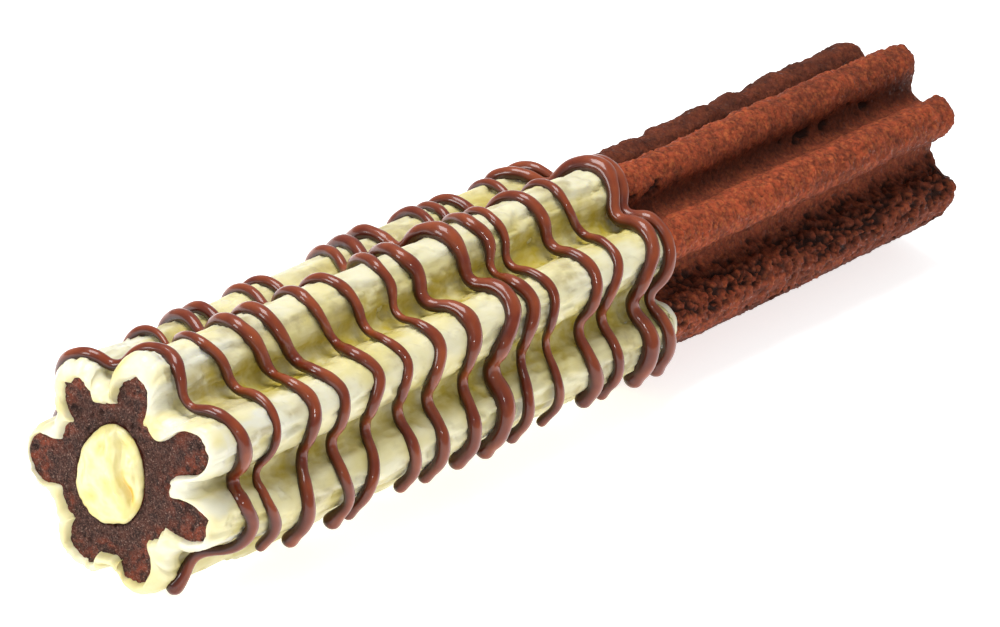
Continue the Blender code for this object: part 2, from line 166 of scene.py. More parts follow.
# Drizzle: each strand's width and the stations at which it crosses these places round the churro
CROSSINGS = (2, 1.75, 1.5, 1.25, 1, 0.75, 0.5, 0.25, 0, -1, -2)
STRANDS = (
    (2.1, (8.0, 6.5, 7.5, 6.5, 5.5, 4.5, 4.0, 4.5, 6.0, 2.5, 9.5)),
    (1.5, (14.5, 12.5, 13.5, 14.5, 15.5, 16.0, 16.5, 15.5, 14.5, 20.5, 13.0)),
    (2.1, (22.5, 22.5, 25.0, 24.5, 25.5, 24.5, 25.5, 24.5, 24.0, 29.0, 29.0)),
    (2.0, (33.5, 32.0, 32.5, 32.5, 33.0, 31.0, 32.0, 30.5, 30.5, 33.4, 33.0)),
    (1.9, (38.0, 40.0, 41.5, 40.5, 42.5, 41.0, 42.5, 41.0, 41.0, 45.0, 46.0)),
    (1.8, (50.5, 50.0, 50.0, 48.5, 50.0, 49.0, 50.5, 50.0, 49.0, 49.5, 50.0)),
    (1.9, (57.5, 57.5, 57.5, 56.5, 58.5, 58.0, 58.5, 59.5, 60.0, 67.5, 67.0)),
    (2.3, (66.0, 66.0, 67.0, 66.0, 67.5, 67.5, 66.0, 66.5, 66.0, 72.5, 72.0)),
    (2.7, (73.5, 74.5, 74.5, 74.5, 78.0, 79.0, 78.0, 78.0, 78.0, 77.5, 82.0)),
    (2.0, (80.5, 80.5, 82.5, 81.5, 83.5, 83.0, 84.0, 85.5, 85.0, 90.5, 86.0)),
    (1.5, (89.5, 89.0, 90.0, 88.5, 89.5, 89.0, 89.0, 90.0, 90.5, 95.0, 96.0)),
    (2.1, (100.0, 98.5, 99.0, 100.0, 101.0, 100.5, 100.5, 100.5, 100.0, 99.0, 99.0)),
    (1.7, (106.0, 105.5, 105.5, 104.5, 107.5, 108.5, 109.0, 107.5, 108.0, 110.5, 112.0)),
    (2.6, (114.0, 114.5, 113.5, 113.5, 117.0, 118.5, 118.5, 120.0, 121.0, 116.0, 115.0)),
    (2.3, (120.5, 119.5, 118.5, 120.5, 121.5, 122.0, 121.0, 122.5, 123.0, 120.5, 119.0)),
)
# The first strand goes on under the churro, towards this place and station
FIRST_TAIL_PLACE = 3
FIRST_TAIL_STATION = 2.2
FIRST_STRAND_END = 2.86
STRAND_END = 2.12
# The strands of a group are laid in one pass, with a turn of this width between them on the +Y side
STRAND_GROUPS = ((0, 1), (2, 3), (4, 5), (6, 7), (8, 9), (10, 11), (12,), (13, 14))
TURN_WIDTH = 2.6
TURN_OVERSHOOT = 0.09
STRAND_SINK = 0.2
STRAND_VALLEY_ROUND = 2.5
STRAND_OUTLINE_PER_RIB = 120
STRAND_SIDES = 18
STRAND_POINTS = 300
STRAND_STEP = 0.4
STRAND_SMOOTHING = 5
TAIL_STEPS = 8
TAIL_HANG = (-0.25, 0.45, -1.0)
TAIL_SHORTEST = 2.2
TAIL_SPAN = 1.3

# Camera, from the photograph's perspective
FOCAL_PIXELS = 9000
FRAME_PIXELS = 1000
SENSOR = 36
CAMERA_AZIMUTH_DEG = -59.1
CAMERA_ELEVATION_DEG = 24.81
CAMERA_ROLL_DEG = 10.69
CAMERA_STATION = -1009.2
CAMERA_SIDE = -663.8
CAMERA_RISE = 596.2

# Studio
FLOOR_SIZE = 8
FLOOR_GLOW = 0.68
WORLD_GLOW = 0.43

# Noise and outlines
OCTAVES = 3
ARC_POINTS = 40


def smooth(share):
    """Eases from 0 to 1 as share goes from 0 to 1."""
    share = np.clip(share, 0, 1)
    return share * share * (3 - 2 * share)


def run_along(points):
    """How far along a line of points each of them is."""
    return np.concatenate([[0], np.cumsum(np.linalg.norm(np.diff(points, axis=0), axis=1))])


def hashed(cell, seed):
    """A repeatable number from 0 to 1 for each whole-numbered cell."""
    x, y, z = [cell[..., k].astype(np.int64) for k in range(3)]
    value = (x * 73856093) ^ (y * 19349663) ^ (z * 83492791) ^ (seed * 668265263)
    value = (value ^ (value >> 13)) * 1274126177 & 0xFFFFFFFF
    value = (value ^ (value >> 15)) * 2246822519 & 0xFFFFFFFF
    return ((value ^ (value >> 16)) & 0xFFFFFF) / 0xFFFFFF


def bumps(points, size, seed):
    """Smooth random values from -1 to 1 at points, that change over about size."""
    scaled = points / np.asarray(size, float)
    base = np.floor(scaled)
    part = scaled - base
    part = part**3 * (part * (part * 6 - 15) + 10)
    total = 0
    for dx in (0, 1):
        for dy in (0, 1):
            for dz in (0, 1):
                weight = 1
                for k, step in enumerate((dx, dy, dz)):
                    weight = weight * (part[..., k] if step else 1 - part[..., k])
                total = total + weight * hashed(base + (dx, dy, dz), seed)
    return 2 * total - 1


def fractal(points, size, seed):
    """Several sizes of bumps, each half as high as the last."""
    size = np.asarray(size, float)
    total = sum(bumps(points, size / 2**k, seed + k) / 2**k for k in range(OCTAVES))
    return total / (2 - 2 / 2**OCTAVES)


def cells(points, size, seed):
    """The nearest of many scattered seeds to each point: distance and offset in sizes, two random numbers."""
    scaled = points / np.asarray(size, float)
    base = np.floor(scaled)
    best = np.full(points.shape[:-1], 9.0)
    offset = np.zeros_like(points)
    value = np.zeros(points.shape[:-1])
    other = np.zeros(points.shape[:-1])
    for dx in (-1, 0, 1):
        for dy in (-1, 0, 1):
            for dz in (-1, 0, 1):
                cell = base + (dx, dy, dz)
                jitter = np.stack([hashed(cell, seed + k) for k in range(3)], -1)
                away = scaled - cell - jitter
                reach = np.sqrt((away**2).sum(-1))
                near = reach < best
                best = np.where(near, reach, best)
                offset = np.where(near[..., None], away, offset)
                value = np.where(near, hashed(cell, seed + 3), value)
                other = np.where(near, hashed(cell, seed + 4), other)
    return best, offset, value, other


def stirred(points, amount, size, seed):
    """Points moved about a little, so that a pattern laid on them turns irregular."""
    return points + amount * np.stack([bumps(points, size, seed + k) for k in range(3)], -1)


def star(reach, tip_round, valley_round, per_rib):
    """A ribbed outline in equal steps from the top crest: radii, angles, places, depths below the crests."""
    half = RIB_ANGLE / 2
    tip = np.array([0, reach - tip_round])
    sideways = tip[1] * math.sin(half)
    out = tip[1] * math.cos(half) + math.sqrt((tip_round + valley_round) ** 2 - sideways**2)
    valley = out * np.array([math.sin(half), math.cos(half)])
    towards = valley - tip
    tip_end = math.atan2(towards[1], towards[0])
    floor = math.atan2(-valley[1], -valley[0]) % (2 * math.pi)
    turn_a = np.linspace(math.pi / 2, tip_end, ARC_POINTS)
    turn_b = np.linspace(tip_end + math.pi, floor, ARC_POINTS)[1:]
    arc_a = tip + tip_round * np.stack([np.cos(turn_a), np.sin(turn_a)], -1)
    arc_b = valley + valley_round * np.stack([np.cos(turn_b), np.sin(turn_b)], -1)
    points = np.concatenate([arc_a, arc_b])
    run = run_along(points)
    steps = np.linspace(0, 2, per_rib, endpoint=False)
    wanted = np.where(steps > 1, 2 - steps, steps) * run[-1]
    across = np.interp(wanted, run, points[:, 0])
    along = np.interp(wanted, run, points[:, 1])
    angle = np.arctan2(across, along)
    angle = np.where(steps <= 1, angle, RIB_ANGLE - angle)
    radius = np.hypot(across, along)
    radii = np.tile(radius, RIBS)
    angles = np.concatenate([angle + rib * RIB_ANGLE for rib in range(RIBS)])
    places = np.concatenate([np.arange(per_rib) / per_rib + rib for rib in range(RIBS)])
    return radii, angles, places, reach - radii


def rib_blend(places, values):
    """Values given for each rib, the last axis of values, at places round the churro."""
    number = np.floor(places).astype(int)
    share = smooth(places - number)
    return values[..., number % RIBS] * (1 - share) + values[..., (number + 1) % RIBS] * share


def along_churro(stations, rows):
    """Values for each rib or valley, from rows for the cut face, the length behind it and the bare part."""
    cut, middle, far = np.array(rows, float)
    stations = stations[:, None]
    value = cut + (middle - cut) * smooth(stations / CUT_FADE)
    return value + (far - value) * smooth((stations - FAR_START) / (FAR_FULL - FAR_START))


def rib_tables(stations):
    """How far each rib leans, in radians, its reach as a factor, and how full the valley after it is."""
    drift = np.empty((2, len(stations), RIBS))
    for row, station in enumerate(stations):
        for rib in range(RIBS):
            for kind, layer in enumerate((1.5, 7.5)):
                drift[kind, row, rib] = noise.noise(Vector((rib * 3.7, station / RIB_WAVE, layer)))
    drift *= smooth(stations / CUT_FADE)[:, None]
    lean = along_churro(stations, LEAN_DEG) + RIB_LEAN_DEG * drift[0]
    reach = along_churro(stations, REACH) + RIB_REACH * drift[1]
    return np.radians(lean), reach, along_churro(stations, FILL)


def axis_height(stations):
    """The height of the churro's axis, which sags a little where the icing ends."""
    sag = SAG * smooth((stations - FAR_START) / (FAR_FULL - FAR_START))
    sag -= (SAG - FAR_SAG) * smooth((stations - SAG_END) / (LENGTH - SAG_END))
    return AXIS_Z - sag


def slanted(stations, side):
    """The x of points at stations, where the far end is aslant."""
    far = smooth((stations - SLANT_START) / (LENGTH - SLANT_START))
    return stations + CUT_X + FAR_SLANT * side * far


def wrap(stations, radii, angles, places, depths):
    """An outline's points, rows of stations by columns round the churro, with the ribs' leans and reaches."""
    lean, reach, fill = rib_tables(stations)
    valley = np.floor(places).astype(int) % RIBS
    radius = (radii + depths * fill[:, valley]) * rib_blend(places, reach)
    angle = angles + rib_blend(places, lean)
    side = -radius * np.sin(angle)
    height = axis_height(stations)[:, None] + radius * np.cos(angle)
    return np.stack([slanted(stations[:, None], side), side, height], -1)


def grid_normals(points):
    """Outward directions on a grid whose columns close round the churro."""
    along = np.gradient(points, axis=0)
    across = np.roll(points, -1, axis=1) - np.roll(points, 1, axis=1)
    normal = np.cross(along, across)
    normal /= np.maximum(np.linalg.norm(normal, axis=-1, keepdims=True), 1e-9)
    outward = points - np.array([0, 0, AXIS_Z])
    outward[..., 0] = 0
    sign = np.sign((normal * outward).sum(-1).mean())
    return normal * (sign if sign else 1)


def grid_faces(rows, columns):
    """Quads of a grid of points, closed round its columns."""
    row, column = np.meshgrid(np.arange(rows - 1), np.arange(columns), indexing="ij")
    a = row * columns + column
    b = row * columns + (column + 1) % columns
    return np.stack([a, b, b + columns, a + columns], -1).reshape(-1, 4).tolist()


def make_piece(name, points, faces, material, attributes):
    """A mesh piece from points in mm, with attributes that its material reads."""
    mesh = bpy.data.meshes.new(name)
    mesh.from_pydata((points * MM).tolist(), [], faces)
    for key, values in attributes.items():
        layer = mesh.attributes.new(key, "FLOAT", "POINT")
        layer.data.foreach_set("value", np.asarray(values, np.float32).ravel())
    mesh.shade_smooth()
    mesh.materials.append(material)
    obj = bpy.data.objects.new(name, mesh)
    bpy.context.scene.collection.objects.link(obj)
    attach(obj, "root")
    return obj


class Nodes:
    """A short way to write a material's nodes."""

    def __init__(self, name):
        self.material = bpy.data.materials.new(name)
        self.material.use_nodes = True
        self.tree = self.material.node_tree
        self.shader = self.tree.nodes["Principled BSDF"]
        self.place = self.add("ShaderNodeTexCoord").outputs["Object"]

    def add(self, kind, **inputs):
        """A new node, with values or sockets for its inputs."""
        node = self.tree.nodes.new(kind)
        for key, value in inputs.items():
            self.plug(node.inputs[key.replace("_", " ")], value)
        return node

    def plug(self, socket, value):
        """Feeds a socket from another one, or with a number."""
        if isinstance(value, bpy.types.NodeSocket):
            self.tree.links.new(value, socket)
        else:
            socket.default_value = value

    def value(self, attribute):
        """One of the mesh's attributes."""
        node = self.add("ShaderNodeAttribute")
        node.attribute_name = attribute
        return node.outputs["Fac"]

    def noise(self, size, detail=3.0, roughness=0.55, stretch=None):
        """Noise of a size in mm."""
        vector = self.place
        if stretch:
            mapping = self.add("ShaderNodeMapping", Vector=vector)
            mapping.inputs["Scale"].default_value = stretch
            vector = mapping.outputs["Vector"]
        node = self.add("ShaderNodeTexNoise", Vector=vector, Scale=1 / (size * MM), Detail=detail)
        node.inputs["Roughness"].default_value = roughness
        return node.outputs["Fac"]

    def grains(self, size):
        """Three random numbers for each grain of a size in mm."""
        node = self.add("ShaderNodeTexVoronoi", Vector=self.place, Scale=1 / (size * MM))
        return self.add("ShaderNodeSeparateColor", Color=node.outputs["Color"]).outputs

    def multiply(self, a, b, clamp=False):
        """The product of two values."""
        node = self.add("ShaderNodeMath")
        node.operation = "MULTIPLY"
        node.use_clamp = clamp
        self.plug(node.inputs[0], a)
        self.plug(node.inputs[1], b)
        return node.outputs[0]

    def remap(self, value, low, high, to_low=0.0, to_high=1.0):
        """A value spread from one range over another, and kept inside it."""
        node = self.add("ShaderNodeMapRange", Value=value)
        for key, number in (("From Min", low), ("From Max", high), ("To Min", to_low), ("To Max", to_high)):
            node.inputs[key].default_value = number
        return node.outputs["Result"]

    def mix(self, share, a, b):
        """Colour a, with a share of colour b."""
        node = self.add("ShaderNodeMix")
        node.data_type = "RGBA"
        self.plug(node.inputs["Factor"], share)
        self.plug(node.inputs[6], a)
        self.plug(node.inputs[7], b)
        return node.outputs[2]

    def bump(self, height, distance, strength=1.0):
        """A normal bent by a height, which stands for a distance in mm."""
        node = self.add("ShaderNodeBump", Height=height, Strength=strength, Distance=distance * MM)
        return node.outputs["Normal"]

    def set(self, **inputs):
        """Feeds inputs of the shader, or sets them to plain numbers."""
        for key, value in inputs.items():
            self.plug(self.shader.inputs[key.replace("_", " ")], value)


def colour(text):
    """A linear colour from its sRGB hex text."""
    parts = [int(text[k : k + 2], 16) / 255 for k in (0, 2, 4)]
    return (*[p / 12.92 if p < 0.04045 else ((p + 0.055) / 1.055) ** 2.4 for p in parts], 1)


def dough_material():
    """Dark chocolate crumb, redder and lighter where it stands proud and where light is painted on, with
    painted shade near black in its pits and painted highlights as bright flecks.
    """
    nodes = Nodes("crust")
    crest = nodes.value("crest")
    grain = nodes.grains(0.45)
    patch = nodes.noise(4, 4)
    mottle = nodes.noise(0.9, 5, 0.7)
    base = nodes.mix(nodes.remap(patch, 0.35, 0.68), colour("56291b"), colour("683320"))
    # Painted light, partly the crust's own redder crests: where the crust's tone is high it turns lighter and
    # redder
    proud_and_lit = nodes.multiply(crest, nodes.remap(patch, 0.3, 0.7, 0.5, 1.15), clamp=True)
    base = nodes.mix(proud_and_lit, base, colour("ad4d2d"))
    base = nodes.mix(nodes.remap(mottle, 0.42, 0.7, 0.0, 0.85), base, colour("35170f"))
    # Painted highlights: bright orange flecks, more of them on the crests
    lit = nodes.multiply(nodes.remap(grain[1], 0.6, 0.95), nodes.remap(crest, 0, 1, 0.06, 0.32))
    base = nodes.mix(lit, base, colour("c8743f"))
    # Painted shade: near black in the pits, the crags and the far rib's dark patches
    base = nodes.mix(nodes.value("pit_shade"), base, colour("2b150e"))
    glint = nodes.remap(grain[2], 0.9, 0.97)
    nodes.set(
        Base_Color=base,
        Roughness=nodes.remap(glint, 0, 1, 0.75, 0.35),
        Normal=nodes.bump(nodes.noise(0.4, 4), 0.25, 1.0),
        Specular_IOR_Level=0.15,
    )
    return nodes.material


def crumb_material():
    """The cut face: dark chocolate crumb with fine pale specks, and painted shade near black in its holes."""
    nodes = Nodes("crumb")
    grain = nodes.grains(0.2)
    patch = nodes.noise(1.8, 4)
    base = nodes.mix(nodes.remap(patch, 0.4, 0.65), colour("2d1b16"), colour("44251b"))
    edge = nodes.multiply(nodes.value("crest"), nodes.remap(patch, 0.42, 0.6), clamp=True)
    base = nodes.mix(edge, base, colour("863a22"))
    base = nodes.mix(nodes.remap(grain[0], 0.35, 1.0, 0.0, 0.5), base, colour("77544a"))
    base = nodes.mix(nodes.remap(grain[1], 0.9, 1.0, 0.0, 0.4), base, colour("a98a7c"))
    base = nodes.mix(nodes.remap(grain[2], 0.5, 1.0, 0.0, 0.6), base, colour("22120d"))
    # Painted shade: near black in the holes
    base = nodes.mix(nodes.value("pit_shade"), base, colour("190e0b"))
    nodes.set(Base_Color=base, Normal=nodes.bump(nodes.noise(0.22, 3), 0.12, 0.9))
    nodes.set(Roughness=0.7, Specular_IOR_Level=0.2)
    return nodes.material


def icing_material():
    """Soft ivory icing, with olive-yellow painted shade in its valleys and dents, greyer where it is thin,
    and grey-white near the cut face, on the tops of its crests and at both rims.
    """
    nodes = Nodes("icing")
    patch = nodes.noise(9, 3)
    base = nodes.mix(nodes.remap(patch, 0.35, 0.7), colour("e6dfb8"), colour("d5c984"))
    base = nodes.mix(nodes.remap(nodes.value("pale"), 0, 1, 0.0, 0.75), base, colour("dfdfd4"))
    fine = nodes.noise(2.5, 4)
    thin = nodes.multiply(nodes.value("thin"), nodes.remap(fine, 0.35, 0.6, 0.2, 0.8))
    base = nodes.mix(thin, base, colour("ada074"))
    # Painted shade, olive-yellow, in the valleys and dents
    deep = nodes.multiply(nodes.value("hollow_shade"), nodes.remap(nodes.noise(3.5, 3), 0.35, 0.6, 0.3, 1.0))
    base = nodes.mix(deep, base, colour("bca83f"))
    streaks = nodes.noise(0.8, 3, 0.6, stretch=(0.15, 1, 1))
    nodes.set(Base_Color=base, Roughness=0.34, Normal=nodes.bump(streaks, 0.16, 0.6))
    nodes.set(Subsurface_Weight=0.2, Subsurface_Radius=(1.0, 0.8, 0.35), Subsurface_Scale=0.7 * MM)
    return nodes.material


def drizzle_material():
    """Set milk chocolate with a wet gloss, with painted shade: each strand is painted dark underneath and
    lighter on top.
    """
    nodes = Nodes("drizzle")
    patch = nodes.noise(5, 2)
    warm = nodes.mix(nodes.remap(patch, 0.35, 0.65), colour("6f270f"), colour("8f421f"))
    # Painted shade: dark underneath each strand, warm on top
    base = nodes.mix(nodes.remap(nodes.value("crown_shading"), -0.1, 1.0), colour("331007"), warm)
    nodes.set(Base_Color=base, Normal=nodes.bump(nodes.noise(1.6, 2), 0.08, 0.5))
    nodes.set(Roughness=0.32, Specular_IOR_Level=0.2, Coat_Weight=0.55, Coat_Roughness=0.03)
    nodes.set(Subsurface_Weight=0.1, Subsurface_Radius=(0.6, 0.25, 0.1), Subsurface_Scale=0.7 * MM)
    return nodes.material


def cream_material():
    """Smooth custard cream, with painted shade, a yellow-orange stain, deep in its crease and in its dimples.
    """
    nodes = Nodes("cream")
    patch = nodes.noise(3, 2)
    base = nodes.mix(nodes.remap(patch, 0.35, 0.65), colour("e9e0aa"), colour("ddd086"))
    # Painted shade, yellow-orange, in the crease and dimples
    base = nodes.mix(nodes.value("fold"), base, colour("e0b83a"))
    nodes.set(Base_Color=base, Roughness=0.28, Normal=nodes.bump(nodes.noise(1.2, 3), 0.16, 0.6))
    nodes.set(Subsurface_Weight=0.12, Subsurface_Radius=(1.0, 0.8, 0.35), Subsurface_Scale=0.6 * MM)
    return nodes.material


def bore_points(angles):
    """The bore's wall at angles, as (y, z) pairs."""
    egg = 1 - BORE_EGG * np.cos(angles)
    side = BORE_SIDE - BORE_WIDTH * egg * np.sin(angles)
    return np.stack([side, AXIS_Z + BORE_HEIGHT * np.cos(angles)], -1)


def ragged_bore(angles):
    """The bore's edge in the cut face, where crumbs stand in over the cream, as (y, z) pairs."""
    bore = bore_points(angles)
    at = np.insert(bore, 0, 0, axis=1)
    crumbs = np.clip(0.2 + fractal(at, 2.4, 85), 0, 1) + 0.5 * np.clip(fractal(at, 7, 89), 0, 1)
    middle = np.array([BORE_SIDE, AXIS_Z])
    return middle + (bore - middle) * (1 - 0.06 * crumbs[:, None])


def around(places, middle):
    """How many ribs places are from a middle, the shorter way round."""
    return (places - middle + RIBS / 2) % RIBS - RIBS / 2


def band(places, middle, width):
    """1 at a place round the churro, falling off over width."""
    return np.exp(-((around(places, middle) / width) ** 2))


def bands(places, rows):
    """The sum of bands, each given by its strength, place and width."""
    return sum(strength * band(places, middle, width) for strength, middle, width in rows)


def crust_surface(stations, outline):
    """The dough's outside: its points, with the crumbs' relief, how bright each one is with painted light and
    shade, and how much painted shade its pits get.
    """
    places, depths = outline[2:]
    skin = wrap(stations, *outline)
    crest = np.broadcast_to(1 - depths / depths.max(), skin.shape[:2])
    normal = grid_normals(skin)
    shown = smooth((stations - RELIEF_START) / 4)[:, None]

    # Beads along the crests, over broad lumps
    beads = bumps(skin, (4.2, 9, 9), 5) + 0.5 * bumps(skin, (2.1, 6, 6), 6)
    lumps = 0.5 * beads * rib_blend(places, np.array(RIB_BEADS)) * crest
    lumps += 0.34 * fractal(skin, 3.2, 21) * (0.3 + 0.7 * crest)

    # Knobs and grit, which the valleys' floors have little of
    loose = stirred(skin, 0.5, 1.3, 55)
    near, _, chance, shade = cells(loose, KNOB_SIZE, 31)
    knobs = (0.6 - near) * (0.15 + chance) * 0.7
    near, _, chance, _ = cells(loose, GRIT_SIZE, 35)
    grit = (0.5 - near) * (0.3 + chance) * 0.42
    even = np.maximum(*[band(places, place, EVEN_WIDTH) for place in EVEN_PLACES])
    relief = (knobs + grit) * (1 - 0.85 * even) * (0.5 + 0.5 * crest)

    # Crags low on the -Y side, and torn ledges under the upper ribs
    broken = fractal(skin, (2.5, 1.6, 1.6), 41)
    gap, _, height, _ = cells(stirred(skin, 0.9, 1.0, 61), CRAG_SIZE, 51)
    crumbly = bands(places, CRAGGY_BANDS)
    ledge = band(places, 0.4, 0.08) * smooth((stations - 150) / 30)[:, None]
    ledge = ledge + 0.9 * band(places, LOWER_LEDGE, 0.08)
    ledge += band(places, 0.3, 0.12) * (1 - smooth((stations - 128) / 22))[:, None]
    flaky = smooth((broken + 0.9 * crumbly - 0.35) / 0.3) * np.minimum(crumbly * 1.4, 1)
    crag = flaky * smooth((gap - 0.4) / 0.18) * np.clip(0.8 + 1.2 * broken, 0, 1)
    crag = np.maximum(crag, smooth((broken + 0.9 * ledge - 0.8) / 0.3) * np.minimum(ledge * 1.5, 1))
    rough = bumps(skin, 0.9, 47)
    flakes = flaky * np.clip(0.5 - gap, 0, 0.22) * (0.2 + 1.5 * height)
    push = (lumps + relief + 1.1 * flakes - crag * (0.75 + 0.4 * rough)) * shown
    skin = skin + normal * push[..., None]
    skin[..., 2] = np.maximum(skin[..., 2], GROUND + 0.002)

    # Brightness, partly the crust's redder crests and partly painted light and shade: crests over valleys,
    # and knobs over what lies between them, painted light for each rib, brighter near the icing, painted
    # light on the valley floors and painted shade under the lower ledge
    knob_shading = np.clip(0.45 + 1.3 * (relief + 0.4 * lumps) + 0.5 * (shade - 0.5), 0, 1)
    painted_light = rib_blend(places, np.array(RIB_PAINTED_LIGHT))
    painted_light = painted_light * (1 + 0.7 * (1 - smooth((stations - ICED_LENGTH) / 60)))[:, None]
    tone = np.clip(crest**1.3 * 1.25, 0, 1) * painted_light
    tone = np.maximum(tone, bands(places, LIGHT_BANDS))
    tone = tone * (1 - 0.45 * band(places, LOWER_LEDGE, 0.09)) * (0.5 + 0.6 * knob_shading)
    tone = np.clip(tone, 0, 1)

    # Painted shade, which the material mixes towards near black: in the crags, in the far rib's dark patches
    # where the light grazes it, under the top rib and in the gaps between knobs
    pit_shade = np.clip(crag * (1.5 + 0.6 * rough), 0, 1) * shown
    patches = np.clip(0.35 + 0.6 * fractal(skin, (5, 2, 2), 71), 0, 0.7)
    pit_shade = np.maximum(pit_shade, band(places, FAR_RIB, 0.35) * patches)
    pit_shade = np.maximum(pit_shade, 0.3 * band(places, 0.4, 0.1))
    pit_shade = np.maximum(pit_shade, 0.25 * smooth((0.06 - relief) / 0.16) * crest * shown)
    return skin, tone, pit_shade


def make_crust(material):
    """The ribbed outside of the dough, its far end and the bore's wall."""
    outline = star(DOUGH_REACH, DOUGH_TIP_ROUND, DOUGH_VALLEY_ROUND, CRUST_PER_RIB)
    bare = np.arange(BARE_START, LENGTH - FAR_EDGE_ROUND, CRUST_STEP)
    stations = np.concatenate([np.array(HIDDEN_STATIONS, float), bare])
    skin, tone, pit_shade = crust_surface(stations, outline)
    rows, tones, pits = [skin], [tone], [pit_shade]

    end = star(
        DOUGH_REACH - FAR_EDGE_ROUND,
        DOUGH_TIP_ROUND - FAR_EDGE_ROUND,
        DOUGH_VALLEY_ROUND + FAR_EDGE_ROUND,
        CRUST_PER_RIB,
    )
    start = skin[-1]
    inner = wrap(stations[-1:], *end)[0]
    for step in np.linspace(0, 1, FAR_EDGE_ROWS + 1)[1:]:
        ring = inner + (start - inner) * math.cos(step * math.pi / 2)
        ring[:, 0] = start[:, 0] + FAR_EDGE_ROUND * math.sin(step * math.pi / 2)
        rows.append(roughened(ring, 0.9 - 0.3 * step)[None])
        tones.append(0.8 * tone[-1:])
        pits.append(np.zeros((1, len(ring))))

    bore = bore_points(outline[1])
    edge = rows[-1][0]
    for step in np.linspace(0, 1, FAR_FACE_ROWS + 1)[1:]:
        ring = edge * (1 - step)
        ring[:, 1:] += bore * step
        ring[:, 0] = edge[:, 0] * (1 - step) + slanted(LENGTH, ring[:, 1]) * step
        rows.append(roughened(ring, 1 - step)[None])
        tones.append(np.full((1, len(ring)), 0.25))
        pits.append(np.full((1, len(ring)), 0.2))
    for station in (LENGTH / 2, 0):
        ring = np.empty_like(inner)
        ring[:, 0] = station + CUT_X
        ring[:, 1:] = bore
        rows.append(ring[None])
        tones.append(np.zeros((1, len(ring))))
        pits.append(np.zeros((1, len(ring))))
    points = np.concatenate(rows)
    faces = grid_faces(*points.shape[:2])
    values = {"crest": np.concatenate(tones), "pit_shade": np.concatenate(pits)}
    return make_piece("crust", points.reshape(-1, 3), faces, material, values)


def roughened(ring, amount):
    """A ring of the far end with crumb relief."""
    relief = 0.3 * fractal(ring, 1.6, 61) + 0.2 * bumps(ring, 0.6, 67)
    moved = ring.copy()
    moved[:, 0] += relief * amount
    return moved


def make_crumb(material):
    """The cut face, between the cream and the icing's lip."""
    outline = star(DOUGH_REACH, DOUGH_TIP_ROUND, DOUGH_VALLEY_ROUND, CRUMB_PER_RIB)
    angles = outline[1]
    outer = wrap(np.zeros(1), *outline)[0]
    shares = np.linspace(0, 1, CRUMB_RINGS)[:, None, None]
    points = np.empty((CRUMB_RINGS, len(angles), 3))
    points[..., 0] = CUT_X
    points[..., 1:] = ragged_bore(angles) * (1 - shares) + outer[:, 1:] * shares
    near, _, chance, _ = cells(points, 0.7, 71)
    relief = 0.3 * fractal(points, 2.8, 73) + 0.3 * (0.5 - near) * (0.3 + chance)
    relief += 0.12 * bumps(points, 0.5, 77)
    holes = smooth((fractal(points, 1.3, 79) - 0.5) / 0.15)
    relief -= 0.35 * holes
    share = shares[..., 0]
    fade = smooth((1 - share) / 0.05)
    rounded = 0.3 * np.exp(-((share * 24) ** 2))
    points[..., 0] -= relief * fade - rounded
    tone = smooth((share - 0.35 + 0.25 * fractal(points, 3.5, 83)) / 0.5) * np.clip(0.6 + 1.5 * relief, 0, 1)
    # Painted shade: the holes are also painted darker
    values = {"crest": tone, "pit_shade": holes * 0.5}
    faces = grid_faces(*points.shape[:2])
    return make_piece("crumb", points.reshape(-1, 3), faces, material, values)


def rim_swell(places, stations):
    """How much further out the icing's surface is near its rim."""
    return rib_blend(places, np.array(RIM_SWELL)) * (1 - smooth(stations / RIM_FADE))


def spread(points, crest):
    """Icing as a knife leaves it, in swipes over soft lumps: relief, dents and the swipes' torn edges."""
    _, offset, chance, other = cells(points, (13, 4.5, 4.5), 101)
    tilt = np.stack([0.5 * (chance - 0.5), other - 0.5, (chance * 7.3) % 1 - 0.5], -1)
    facets = (offset * tilt).sum(-1)
    level = 3.0 * bumps(points, (20, 5.5, 5.5), 115) + 0.5 * bumps(points, (4, 1.8, 1.8), 116)
    level += 0.28 * bumps(points, (1.6, 0.9, 0.9), 117)
    ledges = np.floor(level) + smooth((level - np.floor(level)) / 0.14)
    strokes = 0.2 * bumps(points, (12, 1.3, 1.3), 111) + 0.07 * bumps(points, (6, 0.7, 0.7), 113)
    lumps = 0.3 * bumps(points, 11, 119) + 0.16 * bumps(points, 4.5, 120)
    near, _, chance, _ = cells(points, 4.2, 125)
    dents = smooth((0.36 + 0.12 * bumps(points, 1.5, 127) - near) / 0.16) * (chance > 0.62)
    dents = dents * smooth((0.5 - crest) / 0.2)
    relief = lumps + 0.8 * facets + 0.3 * (ledges - 0.5 * level) + strokes - 0.8 * dents
    edge = smooth(1 - np.abs(level - np.floor(level) - 0.07) / 0.1)
    return relief, dents, edge


def lip_edge(places, dough_radii):
    """Radii of the icing's inner edge on the cut face: it laps round each arm of dough."""
    number = np.floor(places).astype(int) % RIBS
    share = places - np.floor(places)
    tips, flats, feet = np.array(LIP_TIPS), np.array(LIP_FLATS), np.array(LIP_FEET)
    valley = np.array(LIP_VALLEYS)[number]

    def arm(rib, away):
        return (1 - smooth((away - flats[rib]) / (feet[rib] - flats[rib]))) * (tips[rib] - valley)

    laps = np.maximum(arm(number, share), arm((number + 1) % RIBS, 1 - share))
    return np.minimum(valley + laps, dough_radii - 0.25)


